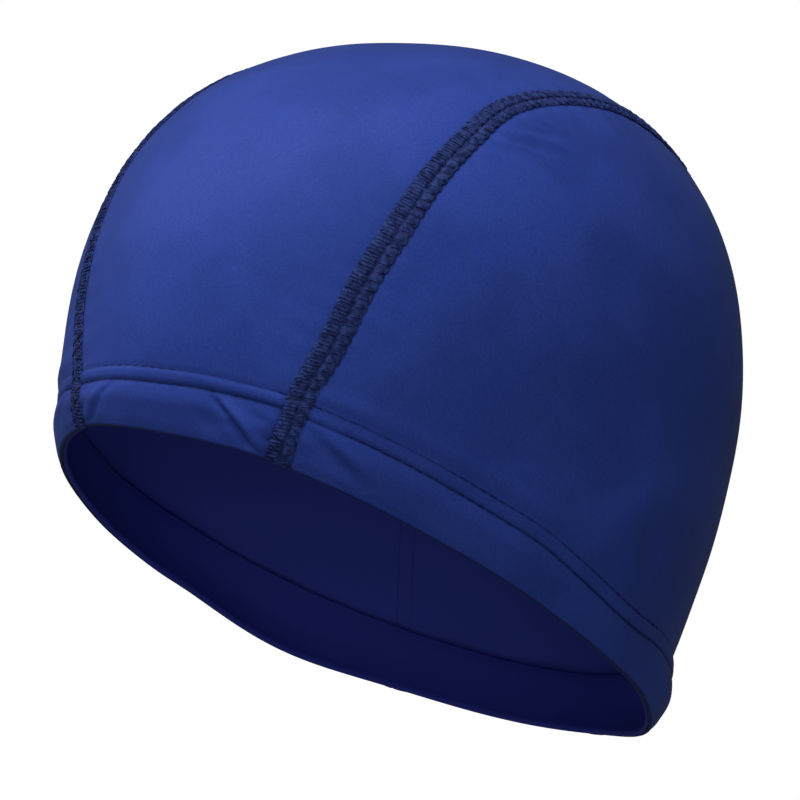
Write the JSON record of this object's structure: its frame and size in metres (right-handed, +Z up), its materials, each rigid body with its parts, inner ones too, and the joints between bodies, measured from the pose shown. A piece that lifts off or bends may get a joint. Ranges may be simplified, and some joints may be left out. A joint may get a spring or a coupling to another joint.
{
  "type": "swim cap",
  "caption": "Stretch knit swim cap in its worn form, with a panel over the crown, two side panels, flat seams and a stitched hem.",
  "frame": {"origin": "middle of the head that fills the cap, at its greatest girth, on the upright axis", "axes": "+Z up on an upright head, -Y towards the forehead, +X towards the wearer's left"},
  "size_m": [0.1774, 0.1886, 0.1972],
  "materials": {
    "panel_knit": "deep blue stretch knit with a satin face and a fine grain",
    "seam_thread": "dark navy overlock thread, matt, in close cross bars",
    "hem_knit": "dark navy back of the stretch knit, matt"
  },
  "bodies": {
    "root": {"center_panel": "panel_knit", "side_panel_left": "panel_knit", "side_panel_right": "panel_knit", "seam_left": "seam_thread", "seam_right": "seam_thread", "hem_band": "hem_knit"}
  },
  "joints": []
}
